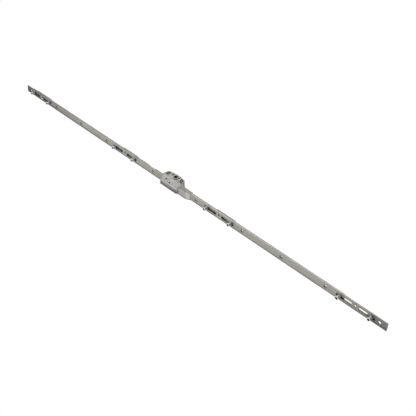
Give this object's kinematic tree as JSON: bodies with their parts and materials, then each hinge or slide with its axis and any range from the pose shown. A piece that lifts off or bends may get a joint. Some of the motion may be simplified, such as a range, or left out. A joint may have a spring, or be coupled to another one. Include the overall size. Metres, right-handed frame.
{
  "type": "window espagnolette gearbox",
  "caption": "Espagnolette with a gearbox at mid length whose handle spindle drives two rods and their mushroom cams in opposite directions behind a slotted faceplate.",
  "frame": {"origin": "on the spindle axis, in the plane of the long edge that the part rests on", "axes": "+X along the faceplate towards the saddle's side, -Y the way the faceplate's front and the cams point, +Z across the faceplate's width and along the spindle"},
  "size_m": [1.1, 0.0385, 0.016],
  "materials": {
    "galvanised_strip": "galvanised, satin",
    "rod_strip": "galvanised, satin",
    "zinc_casting": "plated zinc, satin",
    "follower_zinc": "plated zinc, satin",
    "rack_steel": "plain steel, lightly greased",
    "pin_steel": "plated, satin",
    "spring_steel": "bright",
    "bush_steel": "plated, bright",
    "guide_polymer": "dark olive grey",
    "cam_polished": "polished"
  },
  "bodies": {
    "housing": {"faceplate_left": "galvanised_strip", "faceplate_right": "galvanised_strip", "gearbox_case": "zinc_casting", "gearbox_cover": "zinc_casting", "case_rivets": "pin_steel", "rail_rivets": "pin_steel", "saddle_cover": "galvanised_strip", "saddle_rivets": "pin_steel", "idler_axle": "pin_steel", "detent_spring": "spring_steel", "guide_block_a": "guide_polymer", "guide_block_b": "guide_polymer", "guide_block_c": "guide_polymer", "screw_bush_a": "bush_steel", "screw_bush_b": "bush_steel", "screw_bush_c": "bush_steel"},
    "rear_slide": {"rear_rod": "rod_strip", "drive_rack": "rack_steel", "drive_rack_rivets": "pin_steel", "reversing_arm": "rack_steel"},
    "front_slide": {"front_rod": "rod_strip", "front_rack": "rack_steel", "front_rack_rivets": "pin_steel"},
    "follower": {"drive_follower": "follower_zinc"},
    "idler": {"idler_pinion": "rack_steel"},
    "cam_a_left_pivot": {"cam_a_left": "cam_polished"},
    "cam_a_right_pivot": {"cam_a_right": "cam_polished"},
    "cam_b_left_pivot": {"cam_b_left": "cam_polished"},
    "cam_b_right_pivot": {"cam_b_right": "cam_polished"},
    "cam_c_left_pivot": {"cam_c_left": "cam_polished"},
    "cam_c_right_pivot": {"cam_c_right": "cam_polished"},
    "cam_d_left_pivot": {"cam_d_left": "cam_polished"},
    "cam_d_right_pivot": {"cam_d_right": "cam_polished"}
  },
  "joints": [
    {"name": "rear_rod_slide", "type": "slide", "parent": "housing", "child": "rear_slide", "axis": [1, 0, 0], "range_m": [0, 0.01728]},
    {"name": "front_rod_slide", "type": "slide", "parent": "housing", "child": "front_slide", "axis": [-1, 0, 0], "range_m": [0, 0.01728]},
    {"name": "handle_turn", "type": "hinge", "parent": "housing", "child": "follower", "pos_m": [0, 0, 0], "axis": [0, 0, 1], "range_deg": [0, 90]},
    {"name": "idler_turn", "type": "hinge", "parent": "housing", "child": "idler", "pos_m": [0.0086, -0.02453, 0], "axis": [0, 0, 1], "range_deg": [0, 330.1]},
    {"name": "cam_a_left_adjust", "type": "hinge", "parent": "rear_slide", "child": "cam_a_left_pivot", "pos_m": [-0.5158, -0.022, 0.008], "axis": [0, -1, 0], "range_deg": [-90, 90]},
    {"name": "cam_a_right_adjust", "type": "hinge", "parent": "front_slide", "child": "cam_a_right_pivot", "pos_m": [-0.4482, -0.022, 0.008], "axis": [0, -1, 0], "range_deg": [-90, 90]},
    {"name": "cam_b_left_adjust", "type": "hinge", "parent": "rear_slide", "child": "cam_b_left_pivot", "pos_m": [-0.18, -0.022, 0.008], "axis": [0, -1, 0], "range_deg": [-90, 90]},
    {"name": "cam_b_right_adjust", "type": "hinge", "parent": "front_slide", "child": "cam_b_right_pivot", "pos_m": [-0.1124, -0.022, 0.008], "axis": [0, -1, 0], "range_deg": [-90, 90]},
    {"name": "cam_c_left_adjust", "type": "hinge", "parent": "rear_slide", "child": "cam_c_left_pivot", "pos_m": [0.1204, -0.022, 0.008], "axis": [0, -1, 0], "range_deg": [-90, 90]},
    {"name": "cam_c_right_adjust", "type": "hinge", "parent": "front_slide", "child": "cam_c_right_pivot", "pos_m": [0.188, -0.022, 0.008], "axis": [0, -1, 0], "range_deg": [-90, 90]},
    {"name": "cam_d_left_adjust", "type": "hinge", "parent": "rear_slide", "child": "cam_d_left_pivot", "pos_m": [0.4542, -0.022, 0.008], "axis": [0, -1, 0], "range_deg": [-90, 90]},
    {"name": "cam_d_right_adjust", "type": "hinge", "parent": "front_slide", "child": "cam_d_right_pivot", "pos_m": [0.5218, -0.022, 0.008], "axis": [0, -1, 0], "range_deg": [-90, 90]}
  ],
  "couplings": [
    {"joint": "front_rod_slide", "follows": "rear_rod_slide", "ratio": 1},
    {"joint": "handle_turn", "follows": "rear_rod_slide", "rad_per_m": 90.909},
    {"joint": "idler_turn", "follows": "rear_rod_slide", "rad_per_m": 333.33}
  ]
}
